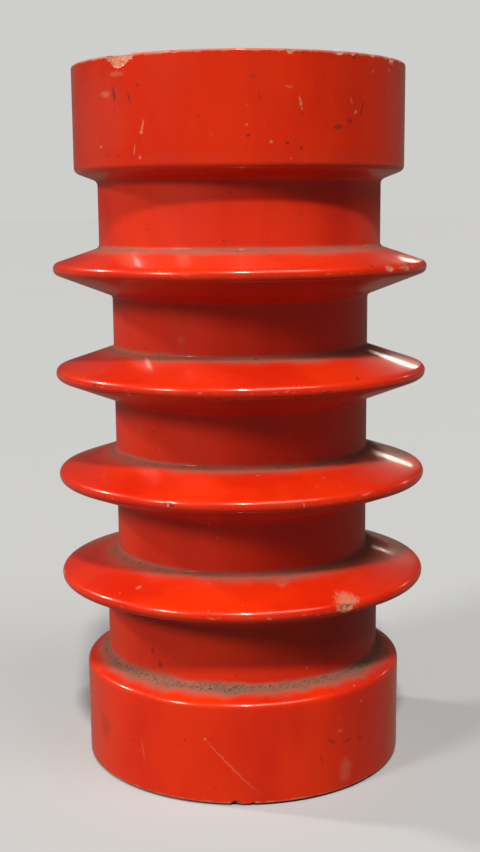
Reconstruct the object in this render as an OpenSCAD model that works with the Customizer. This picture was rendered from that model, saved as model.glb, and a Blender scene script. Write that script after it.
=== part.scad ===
// Cast-resin post insulator with threaded metal inserts in both ends.
// The origin is the centre of the base, on the plane that the base inserts stand on. +Z is up.
// Lengths are in millimetres and angles in degrees.

/* [Body] */
// Height over the insert faces
height = 210; // [195:1:260]
// Diameter of the two end collars
collar_d = 98; // [96:1:110]
// Height of a collar's straight wall, measured from the insert faces
collar_h = 30.5; // [29:0.5:34]
// Fall of a collar's inner face, towards the neck
collar_slope = 21; // [5:1:40]
// Radius of a collar's inner edge
collar_edge_r = 2; // [0.5:0.5:3]
// Radius of a collar's outer edge, at the end face
rim_r = 0.6; // [0.2:0.1:1.5]
// Diameter of the neck between a collar and the nearest shed
neck_d = 84.4; // [83:0.2:92]
// Diameter of the core between two sheds
core_d = 77.2; // [66:0.2:82]
// Radius of the fillet where a collar meets its neck
neck_fillet_r = 1.8; // [0.6:0.2:4]

/* [Sheds] */
// Number of sheds
shed_count = 4; // [1:1:4]
// Diameter over the shed tips
shed_d = 112.2; // [104:0.2:118]
// Height from one shed tip to the next
shed_pitch = 31; // [26:1:33]
// Radius of a shed's rounded tip
shed_tip_r = 2; // [1:0.25:2.5]
// Slope of a shed's upper face
shed_top_slope = 18.5; // [8:0.5:24]
// Slope of a shed's lower face
shed_bottom_slope = 21; // [8:0.5:24]
// Radius of the fillet where a shed meets the core
shed_fillet_r = 1.5; // [0.5:0.5:2.5]

/* [Inserts] */
// Height that the insert faces stand proud of the resin
proud = 0.5; // [0.1:0.1:1]
// Diameter of a centre insert's head
centre_insert_d = 28; // [24:1:34]
// Length of a centre insert
centre_insert_h = 42; // [38:1:52]
// Tapping diameter of the M16 thread in a centre insert
centre_bore_d = 14; // [12:0.5:15]
// Depth of a centre insert's tapped hole
centre_bore_h = 32; // [26:1:34]
// Diameter of a side insert
side_insert_d = 18; // [16:1:20]
// Length of a side insert, down to the bonding plate
side_insert_h = 24; // [22:1:26]
// Tapping diameter of the M12 thread in a side insert
side_bore_d = 10.2; // [8:0.2:11]
// Depth of a side insert's tapped hole
side_bore_h = 18; // [14:1:20]
// Diameter of the circle that the side inserts stand on
side_circle_d = 66; // [64:1:70]
// Thickness of a bonding plate
plate_t = 2; // [1:0.5:3]
// Width of a bonding plate's arms
plate_arm_w = 14; // [12:1:20]

/* [Hidden] */
$fn = 96;
TOP_SIDES = 2;
BASE_SIDES = 4;

resin_red = [0.80, 0.13, 0.07];
brass = [0.78, 0.62, 0.34];
copper = [0.72, 0.43, 0.28];

collar_r = collar_d / 2;
neck_r = neck_d / 2;
core_r = core_d / 2;
shed_r = shed_d / 2;
base_z = proud;
top_z = height - proud;
first_shed_z = (height - (shed_count - 1) * shed_pitch) / 2;
arc_steps = 8;

// A centre insert narrows below its head, so that the bonding plate rests against a shoulder.
centre_shank_d = centre_insert_d - 4;
centre_end_r = 5;
groove_h = 4;
groove_depth = 1.5;
knurl_depth = 0.6;
knurl_drop = 0.3;
centre_head_h = 5;
side_head_h = 3;
centre_teeth = 36;
side_teeth = 24;
mouth_chamfer = 1;
drill_point_ratio = 0.3;
spigot_d = 8;
plate_hub_d = centre_insert_d + 8;
side_turn = 45;
// How far a cutting shape runs past the face that it cuts.
past = 1;

// ---- Outline of the resin body, as corners [radius from the axis, height, rounding radius] ----

// Height of a shed's sloping face at radius r. side is 1 for the upper face and -1 for the lower one.
function shed_face_z(tip_z, slope, side, r) =
    tip_z + side * ((shed_r - shed_tip_r + shed_tip_r * sin(slope) - r) * tan(slope)
                    + shed_tip_r * cos(slope));

// Radius at which the two sloping faces of a shed would meet if its tip were sharp.
apex_r = ((shed_r - shed_tip_r + shed_tip_r * sin(shed_top_slope)) * tan(shed_top_slope)
          + (shed_r - shed_tip_r + shed_tip_r * sin(shed_bottom_slope)) * tan(shed_bottom_slope)
          + shed_tip_r * (cos(shed_top_slope) + cos(shed_bottom_slope)))
         / (tan(shed_top_slope) + tan(shed_bottom_slope));

// Corners of shed number i, from its lower root to its upper root.
function shed_corners(i) =
    let (tip_z = first_shed_z + i * shed_pitch,
         lower_r = i == 0 ? neck_r : core_r,
         upper_r = i == shed_count - 1 ? neck_r : core_r)
    [
        [lower_r, shed_face_z(tip_z, shed_bottom_slope, -1, lower_r), shed_fillet_r],
        [apex_r, shed_face_z(tip_z, shed_top_slope, 1, apex_r), shed_tip_r],
        [upper_r, shed_face_z(tip_z, shed_top_slope, 1, upper_r), shed_fillet_r]
    ];

collar_fall = (collar_r - neck_r) * tan(collar_slope);

body_corners = concat(
    [[0, base_z, 0],
     [collar_r, base_z, rim_r],
     [collar_r, collar_h, collar_edge_r],
     [neck_r, collar_h + collar_fall, neck_fillet_r]],
    [for (i = [0:shed_count - 1]) each shed_corners(i)],
    [[neck_r, height - collar_h - collar_fall, neck_fillet_r],
     [collar_r, height - collar_h, collar_edge_r],
     [collar_r, top_z, rim_r],
     [0, top_z, 0]]
);

function unit(v) = v / norm(v);

// The arc that rounds corner b, between its neighbours a and c.
function round_corner(a, b, c) =
    let (p = [b[0], b[1]],
         u = unit([a[0], a[1]] - p),
         v = unit([c[0], c[1]] - p),
         half = acos(u * v) / 2,
         centre = p + unit(u + v) * b[2] / sin(half),
         start = p + u * b[2] / tan(half) - centre,
         finish = p + v * b[2] / tan(half) - centre,
         from = atan2(start[1], start[0]),
         turn = ((atan2(finish[1], finish[0]) - from + 540) % 360) - 180)
    [for (k = [0:arc_steps]) centre + b[2] * [cos(from + turn * k / arc_steps),
                                              sin(from + turn * k / arc_steps)]];

function rounded(corners) =
    let (n = len(corners))
    [for (i = [0:n - 1]) each (
        corners[i][2] == 0
            ? [[corners[i][0], corners[i][1]]]
            : round_corner(corners[i - 1], corners[i], corners[i + 1]))];

// ---- Metal parts. An insert's face is at z = 0 and it reaches down to -length ----

// A band of straight knurling from -start down to -start - h, a little below the head's surface.
module knurl(d, teeth, start, h) {
    points = [for (k = [0:2 * teeth - 1])
        let (r = d / 2 - knurl_drop - (k % 2) * knurl_depth, a = 180 * k / teeth)
        r * [cos(a), sin(a)]];
    translate([0, 0, -start - h]) linear_extrude(h) polygon(points);
}

// A tapped blind hole with a chamfered mouth and a drill point.
module tapped_hole(d, h) {
    mouth_r = d / 2 + mouth_chamfer;
    translate([0, 0, -h]) cylinder(h = h + past, d = d);
    translate([0, 0, -mouth_chamfer]) cylinder(h = mouth_chamfer, r1 = d / 2, r2 = mouth_r);
    translate([0, 0, -h - d * drill_point_ratio]) cylinder(h = d * drill_point_ratio, r1 = 0, r2 = d / 2);
}

// The knurled length of an insert of diameter d: plain head, and knurls with a groove between them. It ends
// level with the top of the bonding plate.
module knurled_head(d, teeth, head_h) {
    knurl_h = (side_insert_h - head_h - groove_h) / 2;
    translate([0, 0, -head_h]) cylinder(h = head_h, d = d);
    translate([0, 0, -side_insert_h]) cylinder(h = side_insert_h, d = d - 2 * groove_depth);
    knurl(d, teeth, head_h, knurl_h);
    knurl(d, teeth, side_insert_h - knurl_h, knurl_h);
}

// Outside of a centre insert, whose shank has a round end.
module centre_blank() {
    shank_r = centre_shank_d / 2;
    knurled_head(centre_insert_d, centre_teeth, centre_head_h);
    translate([0, 0, -centre_insert_h]) rotate_extrude()
        polygon(rounded([[0, 0, 0],
                         [shank_r, 0, centre_end_r],
                         [shank_r, centre_insert_h - groove_h, 0],
                         [0, centre_insert_h - groove_h, 0]]));
}

module centre_insert() {
    color(brass) difference() {
        centre_blank();
        tapped_hole(centre_bore_d, centre_bore_h);
    }
}

// Outside of a side insert, which ends in a spigot for the bonding plate.
module side_blank() {
    knurled_head(side_insert_d, side_teeth, side_head_h);
    translate([0, 0, -side_insert_h - plate_t]) cylinder(h = plate_t + past, d = spigot_d);
}

module side_insert() {
    color(brass) difference() {
        side_blank();
        tapped_hole(side_bore_d, side_bore_h);
    }
}

// Flat plate around the centre insert, with one round-ended arm for each of n side inserts, and no holes yet.
module bonding_plate_blank(n) {
    translate([0, 0, -side_insert_h - plate_t]) {
        cylinder(h = plate_t, d = plate_hub_d);
        at_sides(n) {
            cylinder(h = plate_t, d = plate_arm_w);
            translate([-side_circle_d / 2, -plate_arm_w / 2, 0])
                cube([side_circle_d / 2, plate_arm_w, plate_t]);
        }
    }
}

// The finished plate fits over the centre insert's shank and the side inserts' spigots.
module bonding_plate(n) {
    color(copper) difference() {
        bonding_plate_blank(n);
        translate([0, 0, -side_insert_h - plate_t - past]) {
            cylinder(h = plate_t + 2 * past, d = centre_shank_d);
            at_sides(n) cylinder(h = plate_t + 2 * past, d = spigot_d);
        }
    }
}

// ---- Places ----

function side_angle(n, i) = (n == 2 ? 0 : side_turn) + 360 * i / n;

module at_side(n, i) {
    rotate([0, 0, side_angle(n, i)]) translate([side_circle_d / 2, 0, 0]) children();
}

module at_sides(n) {
    for (i = [0:n - 1]) at_side(n, i) children();
}

module at_top() {
    translate([0, 0, height]) children();
}

module at_base() {
    mirror([0, 0, 1]) children();
}

// ---- Sub-parts ----

// The whole casting, with the cavities that its metal parts fill.
module resin_body() {
    color(resin_red) difference() {
        rotate_extrude() polygon(rounded(body_corners));
        at_top() {
            centre_blank();
            bonding_plate_blank(TOP_SIDES);
            at_sides(TOP_SIDES) side_blank();
        }
        at_base() {
            centre_blank();
            bonding_plate_blank(BASE_SIDES);
            at_sides(BASE_SIDES) side_blank();
        }
    }
}

resin_body();
at_top() centre_insert();  // top_centre_insert
at_top() bonding_plate(TOP_SIDES);  // top_bonding_bar
at_base() centre_insert();  // base_centre_insert
at_base() bonding_plate(BASE_SIDES);  // base_bonding_cross
for (i = [1:TOP_SIDES])
    at_top() at_side(TOP_SIDES, i - 1) side_insert();
for (i = [1:BASE_SIDES])
    at_base() at_side(BASE_SIDES, i - 1) side_insert();
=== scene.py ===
"""Indoor post insulator: a worn red casting with threaded brass inserts in both ends, bonded by copper plates.

Lengths are in metres, written in millimetres times MM. The camera stands on the -Y side. An angle round the
body is in degrees, 0 towards the camera and positive towards +X.
"""
import math
import random

import bmesh
import bpy
from mathutils import Matrix, Vector, noise


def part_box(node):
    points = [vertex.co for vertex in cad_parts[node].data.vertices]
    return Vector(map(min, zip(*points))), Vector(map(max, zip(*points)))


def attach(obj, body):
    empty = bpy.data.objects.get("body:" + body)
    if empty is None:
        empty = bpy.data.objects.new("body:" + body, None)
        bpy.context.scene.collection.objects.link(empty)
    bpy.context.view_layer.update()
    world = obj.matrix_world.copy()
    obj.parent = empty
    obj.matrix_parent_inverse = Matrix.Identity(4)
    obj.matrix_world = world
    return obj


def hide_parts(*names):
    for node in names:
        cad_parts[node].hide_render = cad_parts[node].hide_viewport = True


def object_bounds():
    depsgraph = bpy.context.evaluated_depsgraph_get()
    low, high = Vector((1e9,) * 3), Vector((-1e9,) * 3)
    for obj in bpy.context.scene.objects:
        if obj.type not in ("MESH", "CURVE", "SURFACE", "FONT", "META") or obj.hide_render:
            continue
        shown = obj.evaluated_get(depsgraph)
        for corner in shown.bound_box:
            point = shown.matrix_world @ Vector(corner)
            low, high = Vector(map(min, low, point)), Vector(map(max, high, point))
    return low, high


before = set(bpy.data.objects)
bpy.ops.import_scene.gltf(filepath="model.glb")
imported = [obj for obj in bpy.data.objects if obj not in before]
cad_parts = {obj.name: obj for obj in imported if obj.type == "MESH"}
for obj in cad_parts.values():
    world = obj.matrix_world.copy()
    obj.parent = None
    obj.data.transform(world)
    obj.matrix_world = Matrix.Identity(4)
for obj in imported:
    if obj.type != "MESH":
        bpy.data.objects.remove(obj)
cad_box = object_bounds()

MM = 0.001

# ---- Sizes of the casting ----
BODY_LOW, BODY_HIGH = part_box("resin_body")
BASE_Z = BODY_LOW[2]
TOP_Z = BODY_HIGH[2]
HEIGHT = cad_box[1][2]
SHED_R = 56.1 * MM
COLLAR_R = 49 * MM
COLLAR_H = 30.5 * MM
COLLAR_SLOPE = math.radians(21)
COLLAR_EDGE_R = 2 * MM
RIM_R = 0.6 * MM
NECK_R = 42.2 * MM
NECK_FILLET_R = 1.8 * MM
CORE_R = 38.6 * MM
SHED_COUNT = 4
SHED_PITCH = 31 * MM
SHED_TIP_R = 2 * MM
SHED_TOP_SLOPE = math.radians(18.5)
SHED_BOTTOM_SLOPE = math.radians(21)
SHED_FILLET_R = 1.5 * MM
FIRST_SHED_Z = (HEIGHT - (SHED_COUNT - 1) * SHED_PITCH) / 2
COLLAR_FALL = (COLLAR_R - NECK_R) * math.tan(COLLAR_SLOPE)
FOOT_CORNER = (NECK_R, COLLAR_H + COLLAR_FALL)

# ---- Sizes of the inserts ----
CENTRE = dict(r=14 * MM, shank_r=12 * MM, length=42 * MM, head=5 * MM, shoulder=24 * MM, teeth=36,
              end_r=5 * MM, bore_r=7 * MM, bore=32 * MM, thread_r=8 * MM, pitch=2 * MM)
SIDE = dict(r=9 * MM, shank_r=4 * MM, length=26 * MM, head=3 * MM, shoulder=24 * MM, teeth=24,
            end_r=0.3 * MM, bore_r=5.1 * MM, bore=18 * MM, thread_r=6.05 * MM, pitch=1.75 * MM)
KNURL_GROOVE = 4 * MM
KNURL_DEPTH = 0.6 * MM
KNURL_DROP = 0.3 * MM
GROOVE_DEPTH = 1.5 * MM
DRILL_POINT = 0.6
SIDE_CIRCLE_R = 33 * MM
FACE_CLEARANCE = 1 * MM
POCKET_SLACK = 0.05 * MM

# ---- Steps round a full turn, and the turn between points on a rounded corner ----
BODY_STEPS = 160
HOLE_STEPS = 64
THREAD_STEPS = 48
FINE_ARC = math.radians(12)
COARSE_ARC = math.radians(30)


# ---- Outlines ----

def shed_face_z(tip_z, slope, side, r):
    """Height of a shed's sloping face at radius r. side is 1 for the upper face and -1 for the lower one."""
    reach = SHED_R - SHED_TIP_R + SHED_TIP_R * math.sin(slope) - r
    return tip_z + side * (reach * math.tan(slope) + SHED_TIP_R * math.cos(slope))


def shed_apex_r():
    """Radius at which a shed's two faces would meet if its tip were sharp."""
    top, bottom = SHED_TOP_SLOPE, SHED_BOTTOM_SLOPE
    centre_r = SHED_R - SHED_TIP_R
    rise = sum((centre_r + SHED_TIP_R * math.sin(s)) * math.tan(s) + SHED_TIP_R * math.cos(s)
               for s in (top, bottom))
    return rise / (math.tan(top) + math.tan(bottom))


def body_corners():
    """Corners of the casting from the base up, as (radius, height, rounding radius, longest run before it)."""
    apex = shed_apex_r()
    corners = [
        (0, BASE_Z, 0, 1),
        (COLLAR_R - 4 * MM, BASE_Z, 0, 5 * MM),
        (COLLAR_R, BASE_Z, RIM_R, 0.8 * MM),
        (COLLAR_R, BASE_Z + 4 * MM, 0, 0.8 * MM),
        (COLLAR_R, COLLAR_H, COLLAR_EDGE_R, 6 * MM),
        (*FOOT_CORNER, NECK_FILLET_R, 1 * MM),
        (NECK_R, FOOT_CORNER[1] + 5 * MM, 0, 1 * MM),
    ]
    for i in range(SHED_COUNT):
        tip = FIRST_SHED_Z + i * SHED_PITCH
        low_r = NECK_R if i == 0 else CORE_R
        high_r = NECK_R if i == SHED_COUNT - 1 else CORE_R
        low_z = shed_face_z(tip, SHED_BOTTOM_SLOPE, -1, low_r)
        apex_z = shed_face_z(tip, SHED_TOP_SLOPE, 1, apex)
        high_z = shed_face_z(tip, SHED_TOP_SLOPE, 1, high_r)
        corners += [(low_r, low_z, SHED_FILLET_R, 6 * MM),
                    (apex, apex_z, SHED_TIP_R, 4 * MM),
                    (high_r + 7 * MM, high_z - 7 * MM * math.tan(SHED_TOP_SLOPE), 0, 3 * MM),
                    (high_r, high_z, SHED_FILLET_R, 1.4 * MM),
                    (high_r, high_z + 3 * MM, 0, 1 * MM)]
    corners += [
        (NECK_R, HEIGHT - COLLAR_H - COLLAR_FALL, NECK_FILLET_R, 6 * MM),
        (COLLAR_R, HEIGHT - COLLAR_H, COLLAR_EDGE_R, 3 * MM),
        (COLLAR_R, TOP_Z - 4 * MM, 0, 6 * MM),
        (COLLAR_R, TOP_Z, RIM_R, 0.8 * MM),
        (COLLAR_R - 4 * MM, TOP_Z, 0, 0.8 * MM),
        (0, TOP_Z, 0, 5 * MM),
    ]
    return corners


def rounded_outline(corners, arc_step=FINE_ARC):
    """Points along an outline of (r, z, rounding radius, longest run) corners, with its corners rounded."""
    points = []
    for i, (r, z, radius, run) in enumerate(corners):
        here = Vector((r, z))
        if radius:
            before = (Vector(corners[i - 1][:2]) - here).normalized()
            after = (Vector(corners[i + 1][:2]) - here).normalized()
            half = before.angle(after) / 2
            centre = here + (before + after).normalized() * radius / math.sin(half)
            start = here + before * radius / math.tan(half) - centre
            turn = start.angle_signed(here + after * radius / math.tan(half) - centre)
            steps = max(3, round(abs(turn) / arc_step))
            bend = [centre + Matrix.Rotation(-turn * k / steps, 2) @ start for k in range(steps + 1)]
        else:
            bend = [here]
        if points:
            gap = bend[0] - points[-1]
            pieces = max(1, math.ceil(gap.length / run - 0.01))
            points += [points[-1] + gap * k / pieces for k in range(1, pieces)]
        points += bend
    return points


def lathe(outline, steps):
    """A bmesh turned from an outline of (r, z) points round the Z axis."""
    bm = bmesh.new()
    verts = [bm.verts.new((p[0], 0, p[1])) for p in outline]
    edges = [bm.edges.new(pair) for pair in zip(verts, verts[1:])]
    bmesh.ops.spin(bm, geom=verts + edges, cent=(0, 0, 0), axis=(0, 0, 1), angle=math.tau, steps=steps,
                   use_merge=True)
    bmesh.ops.remove_doubles(bm, verts=bm.verts, dist=0.01 * MM)
    bmesh.ops.recalc_face_normals(bm, faces=bm.faces)
    return bm


# ---- Making and cutting objects ----

def new_object(name, bm):
    mesh = bpy.data.meshes.new(name)
    bm.to_mesh(mesh)
    bm.free()
    piece = bpy.data.objects.new(name, mesh)
    bpy.context.scene.collection.objects.link(piece)
    return piece


def cut(piece, cutters):
    """Cut closed objects out of a piece, then remove them."""
    for cutter in cutters:
        boolean = piece.modifiers.new("cut", "BOOLEAN")
        boolean.operation = "DIFFERENCE"
        boolean.solver = "MANIFOLD"
        boolean.object = cutter
    bpy.context.view_layer.update()
    result = bpy.data.meshes.new_from_object(piece.evaluated_get(bpy.context.evaluated_depsgraph_get()))
    piece.modifiers.clear()
    old = piece.data
    piece.data = result
    result.name = piece.name
    bpy.data.meshes.remove(old)
    for cutter in cutters:
        bpy.data.objects.remove(cutter)


def node_copy(name):
    """A closed copy of a CAD node, to cut with."""
    bm = bmesh.new()
    bm.from_mesh(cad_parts[name].data)
    bmesh.ops.remove_doubles(bm, verts=bm.verts, dist=0.001 * MM)
    return new_object(name + "_cutter", bm)


def smooth(piece, sharp_above=35):
    piece.data.shade_smooth()
    piece.data.set_sharp_from_angle(angle=math.radians(sharp_above))


# ---- Places of the inserts ----

def side_spot(count, i):
    """Centre of one of a ring of side inserts: 2 on the X axis, or 4 between the axes."""
    turn = (0 if count == 2 else math.pi / 4) + math.tau * i / count
    return Vector((SIDE_CIRCLE_R * math.cos(turn), SIDE_CIRCLE_R * math.sin(turn), 0))


TOP_PLACE = Matrix.Translation((0, 0, HEIGHT))
BASE_PLACE = Matrix.Rotation(math.pi, 4, "X")
INSERTS = [("top_centre_insert", CENTRE, TOP_PLACE), ("base_centre_insert", CENTRE, BASE_PLACE)]
INSERTS += [(f"top_side_insert_{i + 1}", SIDE, TOP_PLACE @ Matrix.Translation(side_spot(2, i))) for i in range(2)]
INSERTS += [(f"base_side_insert_{i + 1}", SIDE, Matrix.Translation(side_spot(4, i)) @ BASE_PLACE) for i in range(4)]
PLATES = ["top_bonding_bar", "base_bonding_cross"]


# ---- Wear on the casting ----

class Chip:
    """A piece broken off an edge: where it is, how its broken face leans, its half width and its depth."""

    def __init__(self, angle, edge, lean, half_width, depth, rough=0.3):
        self.angle = math.radians(angle)
        self.edge = edge
        self.out = Vector((math.cos(math.radians(lean)), math.sin(math.radians(lean))))
        self.half_width, self.depth, self.rough = half_width * MM, depth * MM, rough

    def along(self, point):
        """Distance round the body from the chip's middle."""
        turn = math.atan2(point.x, -point.y) - self.angle
        return self.edge[0] * ((turn + math.pi) % math.tau - math.pi)

    def covers(self, point, margin):
        return (abs(self.along(point)) < self.half_width + margin
                and off_edge(point, self.edge).length < 2.2 * self.depth + margin)

    def height_above(self, point):
        """How far a point stands above the broken face, or 0 outside the chip."""
        share = self.along(point) / self.half_width
        if abs(share) > 1.3:
            return 0
        grain = noise.noise(point / (2.2 * MM)) + 0.5 * noise.noise(point / (0.8 * MM))
        floor = self.depth * (share * share - 1 + self.rough * grain)
        return max(0, off_edge(point, self.edge).dot(self.out) - floor)

    def push_in(self, point, distance):
        radial = Vector((point.x, point.y, 0)).normalized()
        return point - distance * (self.out.x * radial + self.out.y * Vector((0, 0, 1)))


def off_edge(point, edge):
    """A point's place relative to a round edge (radius, height), as (outwards, upwards)."""
    return Vector((math.hypot(point.x, point.y) - edge[0], point.z - edge[1]))


TOP_RIM = (COLLAR_R, TOP_Z)
BASE_RIM = (COLLAR_R, BASE_Z)
TIPS = [(SHED_R, FIRST_SHED_Z + i * SHED_PITCH) for i in range(SHED_COUNT)]


def chosen_chips():
    """The chips that stand out: (angle, edge, lean of the broken face, half width, depth, roughness)."""
    return [
        Chip(-40.5, TOP_RIM, 38, 5.4, 2.0, 0.28),
        Chip(-20, TOP_RIM, 50, 1.0, 0.6),
        Chip(16, TOP_RIM, 40, 1.5, 0.9),
        Chip(33, TOP_RIM, 45, 1.9, 1.0),
        Chip(38.5, TOP_RIM, 42, 1.3, 0.8),
        Chip(48, TOP_RIM, 50, 1.2, 0.7),
        Chip(60, TOP_RIM, 40, 2.2, 1.3),
        Chip(31, TIPS[0], 8, 2.4, 0.6, 0.5),
        Chip(-21, TIPS[1], 8, 0.7, 0.2),
        Chip(48, TIPS[3], 40, 0.7, 0.25),
        Chip(57, TIPS[3], 30, 0.9, 0.3),
        Chip(-3, BASE_RIM, -48, 1.6, 0.9),
        Chip(3, BASE_RIM, -45, 0.9, 0.6),
        Chip(152, TOP_RIM, 42, 4.2, 1.6),
        Chip(-128, TIPS[3], -8, 2.4, 0.8),
    ]


def scattered_chips():
    """Small chips at random round the rims and shed tips, smaller at the front, where the chosen ones are."""
    dice = random.Random(41)
    rows = [(TOP_RIM, 45, 18, 1.4), (BASE_RIM, -45, 16, 1.5)] + [(tip, 0, 4, 0.7) for tip in TIPS]
    chips = []
    for edge, lean, count, size in rows:
        for _ in range(count):
            angle = dice.uniform(65, 295) if edge in TIPS else dice.uniform(-180, 180)
            half_width = size * dice.uniform(0.45, 1.2) * (0.5 if abs(angle) < 45 else 1)
            depth = half_width * dice.uniform(0.3, 0.5)
            chips.append(Chip(angle, edge, lean + dice.uniform(-15, 15), half_width, depth))
    return chips


def divide(bm, verts, cuts, shortest=0.0):
    """Divide the edges that join the given vertices, apart from very short ones."""
    chosen = set(verts)
    edges = [e for e in bm.edges if e.verts[0] in chosen and e.verts[1] in chosen and e.calc_length() > shortest]
    bmesh.ops.subdivide_edges(bm, edges=edges, cuts=cuts, use_grid_fill=True)


def by_edge(bm, chips, margin):
    """Pairs of each chip and the vertices close to the edge that it is broken from."""
    for edge in [TOP_RIM, BASE_RIM] + TIPS:
        close = [v for v in bm.verts if off_edge(v.co, edge).length < 5 * MM]
        for chip in chips:
            if chip.edge == edge:
                yield chip, [v for v in close if chip.covers(v.co, margin)]


def refine(bm, chips):
    """Divide the faces along the rims, in the dusty corner and round the chips finely enough for their detail."""
    for edge in (TOP_RIM, BASE_RIM):
        divide(bm, [v for v in bm.verts if off_edge(v.co, edge).length < 1.6 * MM], 1)
    divide(bm, [v for v in bm.verts if off_edge(v.co, FOOT_CORNER).length < 5 * MM], 1)
    divide(bm, [v for _, verts in by_edge(bm, chips, 0.9 * MM) for v in verts], 2, 0.25 * MM)
    large = [chip for chip in chips if chip.half_width > 1.5 * MM]
    divide(bm, [v for _, verts in by_edge(bm, large, 0.4 * MM) for v in verts], 1, 0.25 * MM)


def break_chips(bm, chips):
    """Push the surface in at each chip. Returns how far into a broken face each vertex lies, from 0 to 1."""
    bm.verts.index_update()
    broken = [0.0] * len(bm.verts)
    for chip, verts in by_edge(bm, chips, 1.4 * MM):
        for v in verts:
            height = chip.height_above(v.co)
            v.co = chip.push_in(v.co, height)
            broken[v.index] = max(broken[v.index], min(1.0, height / (0.12 * MM)))
    return broken


# Inner corners that hold dust: (radius, height, reach outwards, reach up the wall, amount).
DUSTY_CORNERS = [(*FOOT_CORNER, 5.9 * MM, 3.2 * MM, 0.94)]
DUSTY_CORNERS += [(r, shed_face_z(z, SHED_TOP_SLOPE, 1, r), 5.5 * MM, 1.8 * MM, 0.74)
                  for r, z in [(CORE_R, tip[1]) for tip in TIPS[:-1]] + [(NECK_R, TIPS[-1][1])]]


def settled_dust_and_side_sheen(point):
    """How much dust lies at a point, with painted grazing sheen added at the sides: 1 or more is a heap and 0.3 a
    film.
    """
    r, angle = math.hypot(point.x, point.y), math.degrees(math.atan2(point.x, -point.y))
    patchy = 1 + 0.45 * noise.noise(point / (14 * MM)) + 0.25 * noise.noise(point / (4 * MM))
    most = 0.0
    for corner_r, corner_z, out, up, amount in DUSTY_CORNERS:
        if r > corner_r - 0.3 * MM and abs(point.z - corner_z) < 5 * MM:
            # Wider at the left and right as seen from the camera, most on the shed tops: partly dust and partly
            # painted grazing sheen.
            out *= (1 + (0.1 if corner_z < FIRST_SHED_Z else 0.7) * math.sin(math.radians(angle)) ** 2) * patchy
            share = max(0, r - corner_r) / out + max(0, point.z - corner_z) / (up * patchy)
            most = max(most, amount * (1 - share))
    if point.z < FIRST_SHED_Z:
        most *= 1 + 0.3 * math.exp(-((angle + 4) / 7) ** 2)
    return max(0.0, most)


def heap_dust(bm, dust):
    """Raise the heaps of dust in the foot's corner, with lumps in them."""
    bm.normal_update()
    for v, amount in zip(bm.verts, dust):
        if amount > 0.5 and v.co.z < FIRST_SHED_Z - SHED_PITCH / 2:
            lumps = 0.7 + 0.9 * noise.noise(v.co / (1.1 * MM)) + 0.5 * noise.noise(v.co / (3 * MM))
            v.co += v.normal * max(0, lumps) * min(1, 2 * (amount - 0.5)) * 0.45 * MM


def store(mesh, name, values):
    layer = mesh.attributes.new(name, "FLOAT", "POINT")
    layer.data.foreach_set("value", values)


def wear_body(piece):
    """Break the chips out of the casting, heap dust on it, and note where it is chipped, rubbed and dusty."""
    chips = chosen_chips() + scattered_chips()
    bm = bmesh.new()
    bm.from_mesh(piece.data)
    refine(bm, chips)
    chipped = break_chips(bm, chips)
    dusty = [settled_dust_and_side_sheen(v.co) for v in bm.verts]
    heap_dust(bm, dusty)
    rubbed = []
    for v in bm.verts:
        rim = min(off_edge(v.co, TOP_RIM).length, off_edge(v.co, BASE_RIM).length)
        tip = min(off_edge(v.co, tip).length for tip in TIPS)
        rubbed.append(max(0.0, 1 - rim / (1.8 * MM), 0.5 * (1 - tip / (1.8 * MM))))
    bm.to_mesh(piece.data)
    bm.free()
    for name, values in (("chipped", chipped), ("rubbed", rubbed), ("dusty", dusty)):
        store(piece.data, name, values)


# ---- Metal parts ----

def pocket(name, size, place):
    """The cavity that an insert fills in the casting, to cut with. The insert's face is at z = 0 before placing."""
    end, shoulder = -size["length"] - POCKET_SLACK, -size["shoulder"] - POCKET_SLACK
    shank_r, r = size["shank_r"] + POCKET_SLACK, size["r"] + POCKET_SLACK
    corners = [
        (0, end, 0, 1),
        (shank_r, end, size["end_r"], 1),
        (shank_r, shoulder, 0, 1),
        (r, shoulder, 0, 1),
        (r, FACE_CLEARANCE, 0, 1),
        (0, FACE_CLEARANCE, 0, 1),
    ]
    bm = lathe(rounded_outline(corners, COARSE_ARC), HOLE_STEPS)
    bmesh.ops.transform(bm, matrix=place, verts=bm.verts)
    return new_object(name + "_pocket", bm)


def knurled_outline(size):
    """Outline of an insert's outside: chamfered face, head, two knurl bands with a groove between, shank."""
    r, head, shoulder = size["r"], size["head"], size["shoulder"]
    groove_r = r - GROOVE_DEPTH
    band = (shoulder - head - KNURL_GROOVE) / 2
    ridge = r - KNURL_DROP
    corners = [
        (0, -size["length"], 0, 1),
        (size["shank_r"], -size["length"], size["end_r"], 1),
        (size["shank_r"], -shoulder, 0, 1),
        (groove_r, -shoulder, 0, 1),
        (ridge, -shoulder + 0.5 * MM, 0, 1),
        (ridge, -shoulder + band - 0.5 * MM, 0, 1.5 * MM),
        (groove_r, -shoulder + band, 0, 1),
        (groove_r, -head - band, 0, 1),
        (ridge, -head - band + 0.5 * MM, 0, 1),
        (ridge, -head - 0.5 * MM, 0, 1.5 * MM),
        (groove_r, -head, 0, 1),
        (r, -head, 0, 1),
        (r, 0, 0.4 * MM, 1),
        (0, 0, 0, 1),
    ]
    return rounded_outline(corners, COARSE_ARC)


def cut_knurls(bm, size):
    """Press straight ridges into the two bands."""
    ridge = size["r"] - KNURL_DROP
    for v in bm.verts:
        r = math.hypot(v.co.x, v.co.y)
        if abs(r - ridge) < 0.01 * MM and v.co.z < -size["head"]:
            wave = 0.5 - 0.5 * math.cos(size["teeth"] * math.atan2(v.co.y, v.co.x))
            v.co.xy *= (r - KNURL_DEPTH * wave) / r


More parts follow.
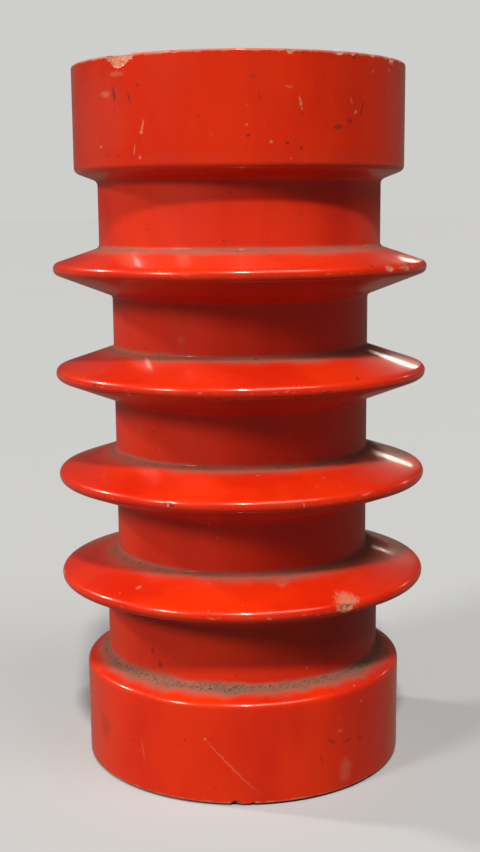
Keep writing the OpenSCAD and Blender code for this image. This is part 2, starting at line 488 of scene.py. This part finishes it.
def drill(size):
    """The drilled hole of an insert: chamfered mouth, straight wall and drill point."""
    r, depth = size["bore_r"], size["bore"]
    mouth = size["thread_r"] + 0.1 * MM
    outline = [(0, -depth - r * DRILL_POINT), (r, -depth), (r, r - mouth), (mouth, 0),
               (mouth, FACE_CLEARANCE), (0, FACE_CLEARANCE)]
    return new_object("drill", lathe(outline, HOLE_STEPS))


def tap(size):
    """The thread of an insert, as a closed screw to cut with."""
    pitch, low, high = size["pitch"], size["bore_r"] - 0.02 * MM, size["thread_r"]
    start, end = -size["bore"] + 2 * MM, 0.6 * MM
    flank = (high - low) * math.tan(math.radians(30))
    root = 0.125 * pitch
    turns = int(-start / pitch) + 3
    profile = []
    for k in range(turns):
        z = start - 1 * MM + (k - 1) * pitch
        profile += [(low, z), (high, z + flank), (high, z + flank + root), (low, z + 2 * flank + root)]
    profile.append((low, start - 1 * MM + (turns - 1) * pitch))
    bm = bmesh.new()
    verts = [bm.verts.new((r, 0, z)) for r, z in profile]
    edges = [bm.edges.new(pair) for pair in zip(verts, verts[1:])]
    bmesh.ops.spin(bm, geom=verts + edges, cent=(0, 0, 0), axis=(0, 0, 1), angle=math.tau, steps=THREAD_STEPS,
                   dvec=(0, 0, pitch / THREAD_STEPS))
    bmesh.ops.remove_doubles(bm, verts=bm.verts, dist=0.005 * MM)
    for z, side in ((start, -1), (end, 1)):
        trimmed = bmesh.ops.bisect_plane(bm, geom=bm.verts[:] + bm.edges[:] + bm.faces[:], plane_co=(0, 0, z),
                                         plane_no=(0, 0, side), clear_outer=True)
        rim = [g for g in trimmed["geom_cut"] if isinstance(g, bmesh.types.BMEdge)]
        bmesh.ops.edgeloop_fill(bm, edges=rim)
    bmesh.ops.recalc_face_normals(bm, faces=bm.faces)
    return new_object("tap", bm)


def threaded_insert(name, size, place):
    """A knurled, drilled and tapped insert that takes the place of its CAD node."""
    bm = lathe(knurled_outline(size), size["teeth"] * 4)
    cut_knurls(bm, size)
    piece = new_object(name.replace("insert", "bush"), bm)
    cut(piece, [drill(size), tap(size)])
    store(piece.data, "from_axis", [math.hypot(v.co.x, v.co.y) for v in piece.data.vertices])
    piece.data.transform(place)
    smooth(piece, 30)
    return piece


# ---- Nodes ----

def add(tree, kind, inputs=None, **settings):
    """Add a shader node. inputs gives sockets, by name or number, a value or another node's output."""
    node = tree.nodes.new("ShaderNode" + kind)
    for name, value in settings.items():
        setattr(node, name, value)
    for socket, value in (inputs or {}).items():
        if isinstance(value, bpy.types.NodeSocket):
            tree.links.new(value, node.inputs[socket])
        else:
            node.inputs[socket].default_value = value
    return node


def maths(tree, operation, *values):
    return add(tree, "Math", dict(enumerate(values)), operation=operation).outputs[0]


def largest(tree, *values):
    """The largest of two or more masks."""
    result = values[0]
    for value in values[1:]:
        result = maths(tree, "MAXIMUM", result, value)
    return result


def vector_maths(tree, operation, *values):
    node = add(tree, "VectorMath", dict(enumerate(values)), operation=operation)
    return node.outputs["Value" if operation in ("LENGTH", "DOT_PRODUCT") else "Vector"]


def ramp(tree, value, start, end, low=0.0, high=1.0):
    """A smooth step from low, where value is at start, to high, where it is at end."""
    inputs = {"Value": value, "From Min": start, "From Max": end, "To Min": low, "To Max": high}
    return add(tree, "MapRange", inputs, interpolation_type="SMOOTHSTEP", clamp=False).outputs[0]


def blend(tree, factor, first, second):
    """The first colour where factor is 0, and the second where it is 1."""
    return add(tree, "Mix", {0: factor, 6: first, 7: second}, data_type="RGBA").outputs[2]


def cloud(tree, position, scale, detail=2.0, roughness=0.5, stretch=(1, 1, 1)):
    """Noise from 0 to 1. scale is in cells a metre, and stretch multiplies it along each axis."""
    place = vector_maths(tree, "MULTIPLY", position, stretch) if stretch != (1, 1, 1) else position
    inputs = {"Vector": place, "Scale": scale, "Detail": detail, "Roughness": roughness}
    return add(tree, "TexNoise", inputs).outputs["Fac"]


def new_group(name, inputs, outputs):
    """An empty shader group. inputs and outputs are (name, socket type) pairs."""
    tree = bpy.data.node_groups.new(name, "ShaderNodeTree")
    for direction, sockets in (("INPUT", inputs), ("OUTPUT", outputs)):
        for label, kind in sockets:
            tree.interface.new_socket(label, in_out=direction, socket_type="NodeSocket" + kind)
    return tree, tree.nodes.new("NodeGroupInput").outputs, tree.nodes.new("NodeGroupOutput").inputs


def use(tree, group, **inputs):
    """Place a group in a material. Returns its outputs."""
    return add(tree, "Group", inputs, node_tree=group).outputs


# ---- Effects that materials share ----

def unrolled_group():
    """Position to surface millimetres: round from the front at collar radius, and up the body, slightly wandering.

    Ragged is a fine noise round 0 for the edges of marks.
    """
    tree, given, result = new_group(
        "unrolled", [("Position", "Vector")], [("Surface", "Vector"), ("Ragged", "Float")])
    x, y, z = add(tree, "SeparateXYZ", {0: given["Position"]}).outputs
    turn = maths(tree, "ARCTAN2", x, maths(tree, "MULTIPLY", y, -1.0))
    surface = add(tree, "CombineXYZ", {
        "X": maths(tree, "MULTIPLY", turn, COLLAR_R / MM), "Y": maths(tree, "DIVIDE", z, MM)}).outputs[0]
    wander = add(tree, "TexNoise", {"Vector": surface, "Scale": 0.35, "Detail": 2.0}).outputs["Color"]
    wander = vector_maths(tree, "MULTIPLY", vector_maths(tree, "SUBTRACT", wander, (0.5, 0.5, 0.5)), (1.2, 1.2, 0))
    rough = cloud(tree, surface, 1.5, 4.0, 0.75)
    tree.links.new(vector_maths(tree, "ADD", surface, wander), result["Surface"])
    tree.links.new(maths(tree, "MULTIPLY_ADD", rough, 4.0, -2.0), result["Ragged"])
    return tree


def mark_group():
    """An oval mark on the unrolled surface. A long thin one is a scratch that tapers to its ends.

    Along and Across point along the oval's axes, and are 1 over its half lengths long.
    """
    tree, given, result = new_group(
        "mark", [("Surface", "Vector"), ("Ragged", "Float"), ("Centre", "Vector"), ("Along", "Vector"),
                 ("Across", "Vector"), ("Raggedness", "Float"), ("Strength", "Float")], [("Mask", "Float")])
    away = vector_maths(tree, "SUBTRACT", given["Surface"], given["Centre"])
    along = vector_maths(tree, "DOT_PRODUCT", away, given["Along"])
    across = vector_maths(tree, "DOT_PRODUCT", away, given["Across"])
    edge = maths(tree, "MULTIPLY_ADD", given["Ragged"], given["Raggedness"], maths(tree, "MULTIPLY", along, along))
    edge = maths(tree, "MULTIPLY_ADD", across, across, edge)
    tree.links.new(ramp(tree, edge, 1.0, 0.1, 0.0, given["Strength"]), result["Mask"])
    return tree


def hairlines_group():
    """Fine short scratches in patches, on coordinates in millimetres whose third one isn't used."""
    tree, given, result = new_group("hairlines", [("Surface", "Vector"), ("Amount", "Float")], [("Mask", "Float")])
    lines = None
    for turn, size in ((0.5, 0.3), (-0.9, 0.24)):
        turned = add(tree, "VectorRotate", {"Vector": given["Surface"], "Angle": turn}, rotation_type="Z_AXIS")
        drawn_out = vector_maths(tree, "MULTIPLY", turned.outputs[0], (0.07, 1, 1))
        cell = add(tree, "TexVoronoi", {"Vector": drawn_out, "Scale": size}, voronoi_dimensions="2D").outputs
        chance = add(tree, "SeparateXYZ", {0: cell["Color"]}).outputs[0]
        line = maths(tree, "MULTIPLY", ramp(tree, cell["Distance"], 0.028, 0.008), ramp(tree, chance, 0.35, 1.0))
        lines = line if lines is None else largest(tree, lines, line)
    patches = ramp(tree, cloud(tree, given["Surface"], 0.05, 3.0), 0.42, 0.65)
    patchy_lines = maths(tree, "MULTIPLY", lines, patches)
    tree.links.new(maths(tree, "MULTIPLY", patchy_lines, given["Amount"]), result["Mask"])
    return tree


def specks_group():
    """Small round specks scattered at random. Threshold is the share of cells that stay empty."""
    tree, given, result = new_group(
        "specks", [("Position", "Vector"), ("Scale", "Float"), ("Threshold", "Float")], [("Mask", "Float")])
    cells = add(tree, "TexVoronoi", {"Vector": given["Position"], "Scale": given["Scale"]})
    chance = add(tree, "SeparateXYZ", {0: cells.outputs["Color"]}).outputs
    size = maths(tree, "MULTIPLY_ADD", chance[1], 0.16, 0.05)
    dot = ramp(tree, maths(tree, "DIVIDE", cells.outputs["Distance"], size), 1.0, 0.6)
    kept = maths(tree, "GREATER_THAN", chance[0], given["Threshold"])
    tree.links.new(maths(tree, "MULTIPLY", dot, kept), result["Mask"])
    return tree


def dust_group():
    """Settled dust from an amount: a thin film first, then a grey cover with dark grains in it."""
    tree, given, result = new_group(
        "dust", [("Position", "Vector"), ("Amount", "Float")],
        [("Film", "Float"), ("Cover", "Float"), ("Grains", "Float"), ("Height", "Float")])
    ragged = maths(tree, "SUBTRACT", cloud(tree, given["Position"], 420, 5.0, 0.65), 0.5)
    amount = maths(tree, "MULTIPLY_ADD", ragged, 0.5, given["Amount"])
    grains = cloud(tree, given["Position"], 1500, 3.0, 0.7)
    tree.links.new(ramp(tree, amount, 0.08, 0.65), result["Film"])
    cover = ramp(tree, amount, 0.38, 0.95)
    tree.links.new(cover, result["Cover"])
    dark_grains = maths(tree, "MULTIPLY", ramp(tree, grains, 0.5, 0.62), ramp(tree, amount, 0.5, 0.85))
    tree.links.new(dark_grains, result["Grains"])
    tree.links.new(maths(tree, "MULTIPLY", grains, cover), result["Height"])
    return tree


# ---- Marks on the outside of the casting, placed by an angle in degrees and a height in millimetres ----

SCRATCH_RAGGEDNESS = 0.5
# Light scratches: (start angle, start height, end angle, end height, half width, strength).
PALE_SCRATCHES = [
    (-31, 192.5, -32, 189, 0.4, 0.8), (-34.5, 186, -35, 183, 0.3, 0.5), (19, 198, 20, 194, 0.35, 0.9),
    (38, 197.5, 38.5, 196, 0.3, 0.5), (-14.5, 21, 6.5, 2.5, 0.3, 0.42), (-38, 17, -36, 9, 0.5, 0.2),
    (14, 200, 17, 199.5, 0.5, 0.3), (17.5, 90.2, 17.8, 88.7, 0.25, 0.7), (-9, 58.3, -8, 58.2, 0.3, 0.8),
    (7, 58.2, 8, 58.0, 0.3, 0.8), (12, 120.8, 13, 120.8, 0.2, 0.6), (36, 90, 41, 90.6, 0.35, 0.5),
    (60, 14, 84, 19, 0.35, 0.4), (-70, 196, -88, 188, 0.4, 0.4), (120, 201, 141, 186, 0.4, 0.6),
    (-150, 8, -128, 24, 0.4, 0.5), (170, 17, 196, 12, 0.35, 0.5), (-112, 204, -110, 190, 0.3, 0.5),
]
# Dark scratches and rubbed-in streaks, in the same form.
DARK_SCRATCHES = [
    (-43.5, 201, -43, 197.5, 0.7, 0.75), (-37, 199.5, -36, 196.5, 0.5, 0.7), (43.5, 197.5, 42, 193, 0.35, 0.7),
    (30, 17.5, 33, 15.5, 0.7, 0.4), (36, 15, 40, 15.5, 0.55, 0.45), (43, 15.5, 45.5, 14, 0.5, 0.4),
    (27, 13.5, 28, 10, 0.5, 0.25), (-62, 20, -60, 12, 1.2, 0.3), (6, 199, 7, 196, 0.4, 0.3),
    (-95, 199, -93, 192, 0.6, 0.5), (98, 20, 104, 16, 0.6, 0.4), (-165, 198, -160, 197, 0.6, 0.5),
]
# Light spots and smears: (angle, height, half width, half height, raggedness, strength).
PALE_SPOTS = [
    (-32, 189, 0.8, 0.6, 0.4, 0.9), (-50.5, 185.5, 0.8, 0.6, 0.6, 0.6), (-32.5, 182.5, 0.6, 0.6, 0.4, 0.8),
    (40, 194, 0.7, 0.65, 0.3, 0.9), (10, 186, 0.6, 0.55, 0.3, 0.7), (-47.5, 199.5, 2.4, 1.1, 0.8, 0.45),
    (-13, 20, 0.55, 0.55, 0.3, 0.7), (37.5, 6.5, 2.6, 4.5, 1.0, 0.3), (35, 19, 0.9, 0.7, 0.8, 0.35),
    (45, 26, 0.6, 0.5, 0.5, 0.4), (-37.5, 62.4, 0.9, 0.35, 0.6, 0.7), (32.5, 60.2, 4.2, 1.7, 0.9, 0.75),
    (48, 205, 0.5, 0.5, 0.3, 0.6), (-42, 204.5, 3.4, 1.0, 0.8, 0.35), (58, 206, 0.8, 0.8, 0.5, 0.5),
    (104, 190, 0.9, 0.7, 0.4, 0.7), (-130, 203, 1.8, 1.2, 0.8, 0.5), (160, 9, 3.0, 2.0, 1.0, 0.4),
]
# Dark spots and blots, in the same form.
DARK_SPOTS = [
    (-33, 201, 0.5, 0.6, 0.3, 0.7), (33, 190, 2.0, 0.8, 0.8, 0.6), (37.5, 191.5, 1.0, 0.9, 0.6, 0.5),
    (15, 185.5, 0.5, 0.5, 0.3, 0.8), (19.5, 184.5, 0.4, 0.4, 0.3, 0.8), (3, 187.5, 0.6, 0.6, 0.4, 0.75),
    (4, 202.5, 1.3, 0.6, 0.7, 0.35), (-39, 41.5, 0.9, 1.4, 0.7, 0.6), (-35, 37.8, 1.2, 1.2, 0.9, 0.6),
    (-31, 38.5, 0.7, 0.7, 0.6, 0.4), (39, 208.2, 0.9, 0.8, 0.5, 0.6), (-2.5, 0.9, 1.8, 0.6, 0.6, 0.8),
    (-46.5, 120.9, 0.7, 0.6, 0.4, 0.9), (36.5, 122.5, 0.6, 0.3, 0.3, 0.9), (24, 120.3, 1.0, 0.3, 0.6, 0.8),
    (-20.5, 89.6, 1.4, 0.4, 0.8, 0.8), (40, 153, 0.6, 0.4, 0.5, 0.7), (-58, 15, 2.4, 5.0, 1.0, 0.25),
    (-42, 183, 0.5, 0.6, 0.4, 0.5), (87, 196, 0.8, 0.6, 0.5, 0.7), (-150, 190, 1.4, 0.8, 0.8, 0.6),
    (128, 14, 1.0, 0.8, 0.6, 0.7), (176, 130, 1.2, 1.0, 0.7, 0.5), (64, 118.5, 2.5, 0.9, 0.9, 0.4),
]
# Smudges of dust on the upright walls, in the same form. The two wide ones on the top collar's left and right sides
# are partly dust and partly painted grazing sheen, which makes those sides paler.
SMUDGES_AND_SIDE_SHEEN = [
    (-25.5, 132.5, 2.2, 1.6, 0.8, 0.6), (-49, 106, 2.0, 1.8, 0.8, 0.5), (15, 64.4, 3.2, 0.9, 0.8, 0.7),
    (-52, 193, 16, 17, 0.6, 0.3), (60, 195, 5, 14, 0.5, 0.25), (110, 170, 8, 6, 0.9, 0.4),
    (-140, 136, 9, 7, 0.9, 0.4),
]


def on_surface(angle, height):
    """A place on the unrolled surface, in millimetres."""
    return Vector((math.radians(angle) * COLLAR_R / MM, height, 0))


def all_marks(tree, surface, group, scratches, spots):
    """One mask of all the given scratches and spots."""
    marks = []
    for angle_1, height_1, angle_2, height_2, width, strength in scratches:
        start, end = on_surface(angle_1, height_1), on_surface(angle_2, height_2)
        half_length = (end - start).length / 2 + width
        marks.append(((start + end) / 2, (end - start).normalized(), half_length, width, SCRATCH_RAGGEDNESS, strength))
    for angle, height, half_width, half_height, ragged, strength in spots:
        marks.append((on_surface(angle, height), Vector((1, 0, 0)), half_width, half_height, ragged, strength))
    mask = None
    for centre, line, half_length, half_width, ragged, strength in marks:
        square_to_line = Vector((-line.y, line.x, 0))
        one = use(tree, group, Surface=surface["Surface"], Ragged=surface["Ragged"], Centre=centre,
                  Along=line / half_length, Across=square_to_line / half_width,
                  Raggedness=ragged, Strength=strength)["Mask"]
        mask = one if mask is None else largest(tree, mask, one)
    return mask


# ---- Materials ----

RED = (0.63, 0.024, 0.001, 1)
DEEP_RED = (0.53, 0.013, 0.001, 1)
# Pale dusty red of the film: dust, and painted grazing sheen where the wide collar smudges feed it.
DUST_FILM_AND_SHEEN_RED = (0.46, 0.10, 0.065, 1)
BROKEN_RED = (0.50, 0.20, 0.14, 1)
BROKEN_DARK = (0.34, 0.11, 0.08, 1)
RUBBED_IN_DIRT = (0.055, 0.016, 0.02, 1)
DUST = (0.17, 0.105, 0.085, 1)
DARK_GRAINS = (0.07, 0.042, 0.038, 1)
BRASS = (0.60, 0.42, 0.18, 1)
TARNISHED_BRASS = (0.30, 0.17, 0.07, 1)
COPPER = (0.62, 0.28, 0.14, 1)
TARNISHED_COPPER = (0.22, 0.09, 0.05, 1)
RESIN_ROUGHNESS = 0.3
RESIN_COAT = 0.55


def new_material(name):
    """A material with an empty Principled shader. Returns it with its tree and the shader's inputs."""
    material = bpy.data.materials.new(name)
    material.use_nodes = True
    tree = material.node_tree
    return material, tree, tree.nodes["Principled BSDF"].inputs


def cover(piece, material):
    """Give the whole piece one material."""
    piece.data.materials.clear()
    piece.data.materials.append(material)


def attribute(tree, name):
    return add(tree, "Attribute", attribute_name=name).outputs["Fac"]


def bump(tree, heights):
    """Add up (mask, height in millimetres) pairs and turn them into a normal."""
    total = None
    for mask, height in heights:
        total = maths(tree, "MULTIPLY", mask, height) if total is None else maths(
            tree, "MULTIPLY_ADD", mask, height, total)
    return add(tree, "Bump", {"Height": total, "Strength": 1.0, "Distance": MM}).outputs[0]


def resin_material(effects):
    """Glossy red cast resin with scratches, chips, rubbed rims and settled dust."""
    material, tree, shader = new_material("worn_red_resin")
    position = add(tree, "TexCoord").outputs["Object"]
    surface = use(tree, effects["unrolled"], Position=position)
    pale, dark, smudge_and_sheen = [
        all_marks(tree, surface, effects["mark"], scratches, spots)
        for scratches, spots in ((PALE_SCRATCHES, PALE_SPOTS), (DARK_SCRATCHES, DARK_SPOTS), ([], SMUDGES_AND_SIDE_SHEEN))]
    dark_specks = use(tree, effects["specks"], Position=position, Scale=480, Threshold=0.9)["Mask"]
    pale_specks = use(tree, effects["specks"], Position=position, Scale=430, Threshold=0.9)["Mask"]
    hairlines = use(tree, effects["hairlines"], Surface=surface["Surface"], Amount=0.4)["Mask"]
    # The dusty amount is dust, plus painted grazing sheen on the left and right of the shed tops.
    dust = use(tree, effects["dust"], Position=position, Amount=attribute(tree, "dusty"))
    chipped = ramp(tree, attribute(tree, "chipped"), 0.2, 0.7)
    rubbing = maths(tree, "MULTIPLY_ADD", cloud(tree, position, 520, 3.0), 0.9, attribute(tree, "rubbed"))
    rubbed = ramp(tree, rubbing, 0.95, 1.25)

    mottle = cloud(tree, position, 38, 4.0, 0.6, (1, 1, 0.35))
    haze = cloud(tree, position, 70, 5.0, 0.6)
    # The film pales the red with dust. Where the wide smudges on the collar's sides feed it, it is partly painted
    # grazing sheen.
    film = largest(tree, ramp(tree, haze, 0.35, 0.8, 0.0, 0.035), maths(tree, "MULTIPLY", smudge_and_sheen, 0.6))
    broken_grain = cloud(tree, position, 900, 4.0, 0.7)

    colour = blend(tree, ramp(tree, mottle, 0.35, 0.7), RED, DEEP_RED)
    colour = blend(tree, film, colour, DUST_FILM_AND_SHEEN_RED)
    pale = largest(tree, pale, hairlines, maths(tree, "MULTIPLY", pale_specks, 0.5))
    colour = blend(tree, pale, colour, BROKEN_RED)
    dark = largest(tree, dark, maths(tree, "MULTIPLY", dark_specks, 0.6))
    colour = blend(tree, dark, colour, RUBBED_IN_DIRT)
    broken = blend(tree, ramp(tree, broken_grain, 0.45, 0.62), BROKEN_RED, BROKEN_DARK)
    broken = blend(tree, ramp(tree, cloud(tree, position, 90, 2.0), 0.45, 0.55, 0.0, 0.6), broken, BROKEN_DARK)
    colour = blend(tree, maths(tree, "MULTIPLY", rubbed, 0.7), colour, BROKEN_RED)
    colour = blend(tree, chipped, colour, broken)
    colour = blend(tree, maths(tree, "MULTIPLY", dust["Film"], 0.55), colour, DUST)
    colour = blend(tree, maths(tree, "MULTIPLY", dust["Cover"], 0.85), colour, DUST)
    colour = blend(tree, dust["Grains"], colour, DARK_GRAINS)
    tree.links.new(colour, shader["Base Color"])

    radius = vector_maths(tree, "LENGTH", vector_maths(tree, "MULTIPLY", position, (1, 1, 0)))
    sheltered = ramp(tree, radius, NECK_R + 3.3 * MM, NECK_R + 0.3 * MM, 0.0, 0.35)
    matt = largest(tree, sheltered, chipped, dust["Film"],
                   maths(tree, "MULTIPLY", largest(tree, pale, dark), 0.5),
                   maths(tree, "MULTIPLY", largest(tree, rubbed, film), 0.4))
    tree.links.new(maths(tree, "MULTIPLY_ADD", matt, 0.5, RESIN_ROUGHNESS), shader["Roughness"])
    peel = cloud(tree, position, 600, 2.0)
    broken_height = maths(tree, "MULTIPLY", broken_grain, chipped)
    tree.links.new(bump(tree, [(peel, 0.006), (broken_height, 0.25), (dust["Height"], 0.3)]), shader["Normal"])
    shader["Specular IOR Level"].default_value = 0.28
    tree.links.new(maths(tree, "MULTIPLY_ADD", matt, -RESIN_COAT, RESIN_COAT), shader["Coat Weight"])
    shader["Coat Roughness"].default_value = 0.09
    shader["Sheen Weight"].default_value = 0.08
    shader["Sheen Roughness"].default_value = 0.35
    shader["Sheen Tint"].default_value = (1.0, 0.8, 0.72, 1)
    return material


def metal_material(name, effects, clean, tarnished, tool_marks):
    """Dull metal with tarnish, hairline scratches and grime. tool_marks makes a mask from the tree and position."""
    material, tree, shader = new_material(name)
    position = add(tree, "TexCoord").outputs["Object"]
    tarnish = ramp(tree, cloud(tree, position, 160, 5.0, 0.65), 0.4, 0.7)
    in_mm = vector_maths(tree, "MULTIPLY", position, (1000, 1000, 1000))
    hairlines = use(tree, effects["hairlines"], Surface=in_mm, Amount=0.6)["Mask"]
    grime = use(tree, effects["dust"], Position=position, Amount=0.25)
    marks = tool_marks(tree, position)
    colour = blend(tree, tarnish, clean, tarnished)
    colour = blend(tree, hairlines, colour, clean)
    colour = blend(tree, maths(tree, "MULTIPLY", grime["Film"], 0.45), colour, DUST)
    tree.links.new(colour, shader["Base Color"])
    tree.links.new(maths(tree, "SUBTRACT", 1.0, maths(tree, "MULTIPLY", grime["Film"], 0.4)), shader["Metallic"])
    rough = maths(tree, "MULTIPLY_ADD", tarnish, 0.18, maths(tree, "MULTIPLY_ADD", marks, 0.1, 0.28))
    tree.links.new(maths(tree, "MULTIPLY_ADD", grime["Film"], 0.25, rough), shader["Roughness"])
    tree.links.new(bump(tree, [(marks, 0.012), (hairlines, -0.01), (grime["Height"], 0.05)]), shader["Normal"])
    return material


def turned_rings(tree, position):
    """Rings left by a lathe tool, round an insert's own axis."""
    groove = maths(tree, "SINE", maths(tree, "MULTIPLY", attribute(tree, "from_axis"), math.tau / (0.22 * MM)))
    return maths(tree, "MULTIPLY", maths(tree, "MULTIPLY_ADD", groove, 0.5, 0.5), cloud(tree, position, 500, 2.0))


def rolled_grain(tree, position):
    """The long grain of rolled sheet."""
    return cloud(tree, position, 900, 3.0, 0.6, (0.04, 1, 1))


# ---- Insulator ----

def build():
    """The casting, its inserts and its plates, with their materials."""
    effects = {"unrolled": unrolled_group(), "mark": mark_group(),
               "hairlines": hairlines_group(), "specks": specks_group(), "dust": dust_group()}
    resin = resin_material(effects)
    brass = metal_material("turned_brass", effects, BRASS, TARNISHED_BRASS, turned_rings)
    copper = metal_material("rolled_copper", effects, COPPER, TARNISHED_COPPER, rolled_grain)

    casting = new_object("casting", lathe(rounded_outline(body_corners()), BODY_STEPS))
    cut(casting, [pocket(*insert) for insert in INSERTS] + [node_copy(plate) for plate in PLATES])
    wear_body(casting)
    smooth(casting)
    cover(casting, resin)
    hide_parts("resin_body")
    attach(casting, "root")

    for name, size, place in INSERTS:
        bush = threaded_insert(name, size, place)
        cover(bush, brass)
        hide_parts(name)
        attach(bush, "root")
    for plate in PLATES:
        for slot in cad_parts[plate].material_slots:
            slot.material = copper


# ---- Studio ----

CAMERA_DISTANCE = 396 * MM
CAMERA_HEIGHT = 169 * MM
CAMERA_TILT = math.radians(10.5)
CAMERA_ROLL = math.radians(-0.48)
CAMERA_LENS, CAMERA_SENSOR = 54.75, 36
CAMERA_SHIFT = (-0.0015, 0.0256)
WARM_LIGHT = (1.0, 0.86, 0.68)
WORLD_LIGHT = (0.055, 0.055, 0.055, 1)
WORLD_SEEN = (0.62, 0.62, 0.61, 1)
FLOOR_BOUNCE = (0.09, 0.09, 0.09, 1)
FLOOR_SEEN = (0.40, 0.46, 0.56, 1)

# Lamps: (name, azimuth, elevation, strength, spread), with the angles in degrees.
LAMPS = [
    ("front_key", 2, 54, 0.92, 5),
    ("left_key", -51, 30, 0.56, 13),
    ("left_side", -106, 32, 0.48, 5),
    ("right_fill", 46, 60, 0.30, 30),
    ("back_right", 166, 13, 0.011, 4),
    ("right_side", 126, 17, 0.02, 5),
]


def floor_material():
    """Pale to look at, but throwing little light back, so that the undersides of the sheds stay deep red."""
    material, tree, shader = new_material("pale_floor")
    position = add(tree, "TexCoord").outputs["Object"]
    seen = add(tree, "LightPath").outputs["Is Camera Ray"]
    tree.links.new(ramp(tree, cloud(tree, position, 3, 2.0), 0.3, 0.7, 0.75, 0.8), shader["Roughness"])
    tree.links.new(blend(tree, seen, FLOOR_BOUNCE, FLOOR_SEEN), shader["Base Color"])
    shader["Specular IOR Level"].default_value = 0.2
    return material


def light_from(name, azimuth, elevation, strength, spread):
    """A distant soft lamp. Its azimuth is 0 from the camera's side and positive towards +X."""
    lamp = bpy.data.lights.new(name, "SUN")
    lamp.energy = strength * math.pi
    lamp.angle = math.radians(spread)
    lamp.color = WARM_LIGHT
    holder = bpy.data.objects.new(name, lamp)
    holder.rotation_euler = (math.radians(90 - elevation), 0, math.radians(azimuth))
    bpy.context.scene.collection.objects.link(holder)


def studio():
    """Floor, lamps, surroundings and camera."""
    bm = bmesh.new()
    bmesh.ops.create_grid(bm, x_segments=8, y_segments=8, size=20)
    floor = new_object("floor", bm)
    cover(floor, floor_material())

    for lamp in LAMPS:
        light_from(*lamp)

    world = bpy.data.worlds.new("studio")
    bpy.context.scene.world = world
    world.use_nodes = True
    tree = world.node_tree
    seen = add(tree, "LightPath").outputs["Is Camera Ray"]
    tree.links.new(blend(tree, seen, WORLD_LIGHT, WORLD_SEEN), tree.nodes["Background"].inputs["Color"])

    camera_data = bpy.data.cameras.new("camera")
    camera = bpy.data.objects.new("camera", camera_data)
    bpy.context.scene.collection.objects.link(camera)
    camera.location = (0, -CAMERA_DISTANCE, CAMERA_HEIGHT)
    turn = Matrix.Rotation(math.radians(90) - CAMERA_TILT, 4, "X") @ Matrix.Rotation(CAMERA_ROLL, 4, "Z")
    camera.rotation_euler = turn.to_euler()
    camera_data.lens, camera_data.sensor_width = CAMERA_LENS, CAMERA_SENSOR
    camera_data.shift_x, camera_data.shift_y = CAMERA_SHIFT
    bpy.context.scene.camera = camera
    bpy.context.scene.view_settings.view_transform = "Standard"


studio()
build()
